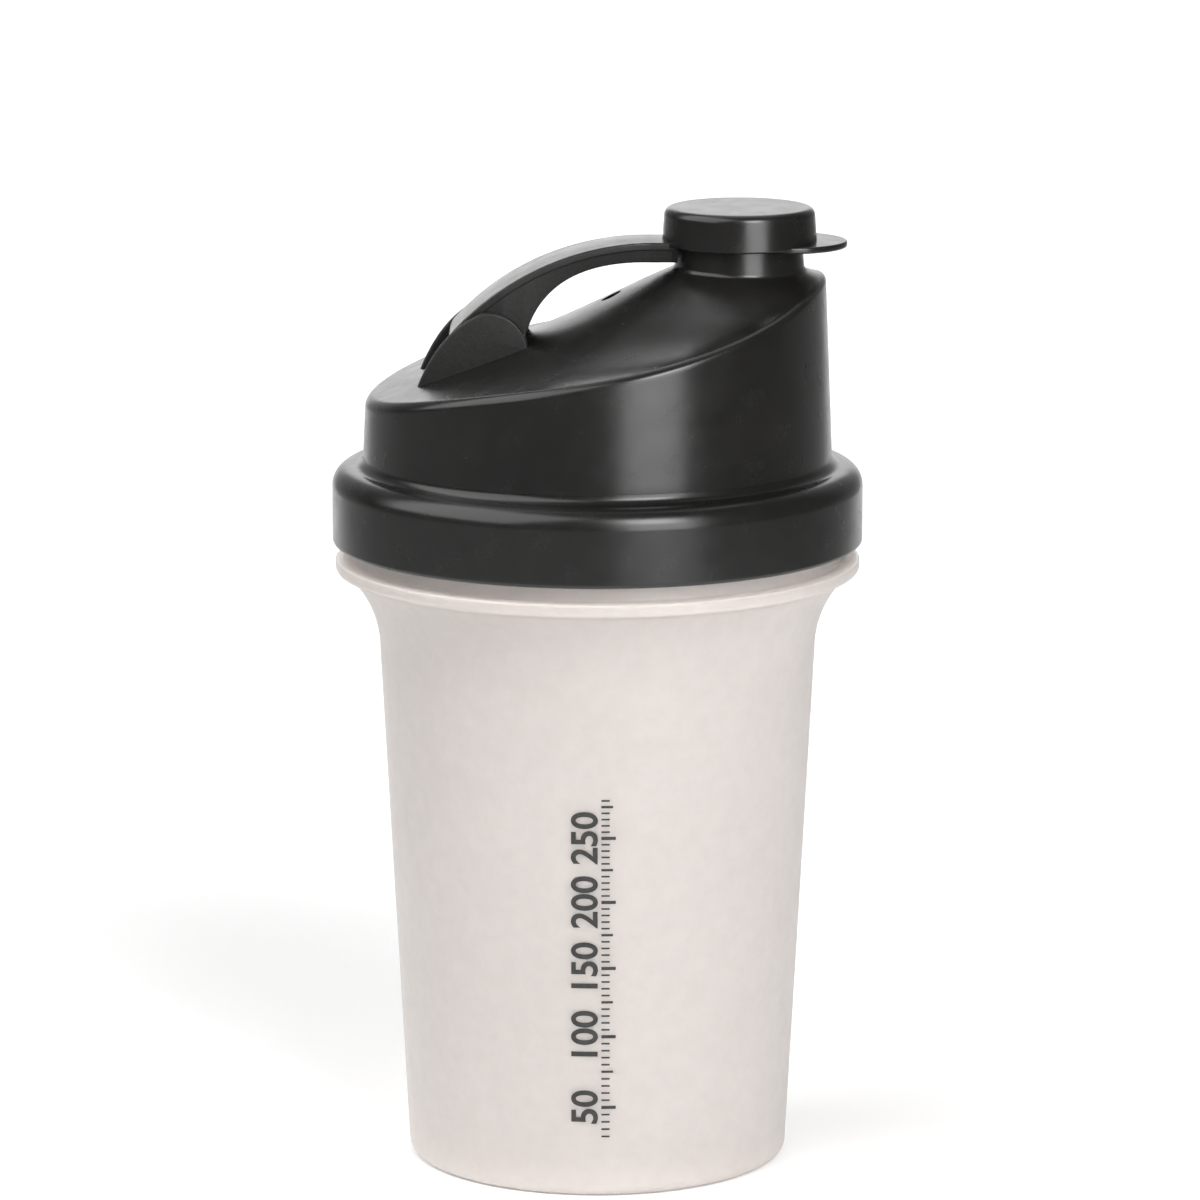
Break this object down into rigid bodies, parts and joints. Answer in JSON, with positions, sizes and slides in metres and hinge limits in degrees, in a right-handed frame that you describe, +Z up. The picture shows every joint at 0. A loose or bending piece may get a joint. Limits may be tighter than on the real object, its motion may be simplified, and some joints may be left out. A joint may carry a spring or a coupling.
{
  "type": "shaker cup",
  "caption": "Frosted tapered shaker cup with a black screw lid, a spout, a hinged flip cap with a pull tab, and a mixing grid inside.",
  "frame": {"origin": "centre of the base, on the cup's axis", "axes": "+Z up along the cup's axis, +X from the cap's hinge towards the spout, -Y the printed front"},
  "size_m": [0.097, 0.097, 0.1764],
  "materials": {
    "frosted_plastic": "frosted, milky translucent polypropylene",
    "black_plastic": "satin moulded polypropylene"
  },
  "bodies": {
    "cup": {"cup": "frosted_plastic"},
    "strainer": {"strainer": "black_plastic"},
    "lid": {"lid": "black_plastic"},
    "flip_cap": {"flip_cap": "black_plastic"}
  },
  "joints": [
    {"name": "lid_rise", "type": "slide", "parent": "cup", "child": "strainer", "axis": [0, 0, 1], "range_m": [0, 0.006]},
    {"name": "lid_turn", "type": "hinge", "parent": "strainer", "child": "lid", "pos_m": [0, 0, 0.122], "axis": [0, 0, 1], "range_deg": [0, 430]},
    {"name": "cap_flip", "type": "hinge", "parent": "lid", "child": "flip_cap", "pos_m": [-0.0238, 0, 0.1525], "axis": [0, -1, 0], "range_deg": [0, 130]}
  ],
  "couplings": [
    {"joint": "lid_rise", "follows": "lid_turn", "m_per_rad": 0.00079577}
  ]
}
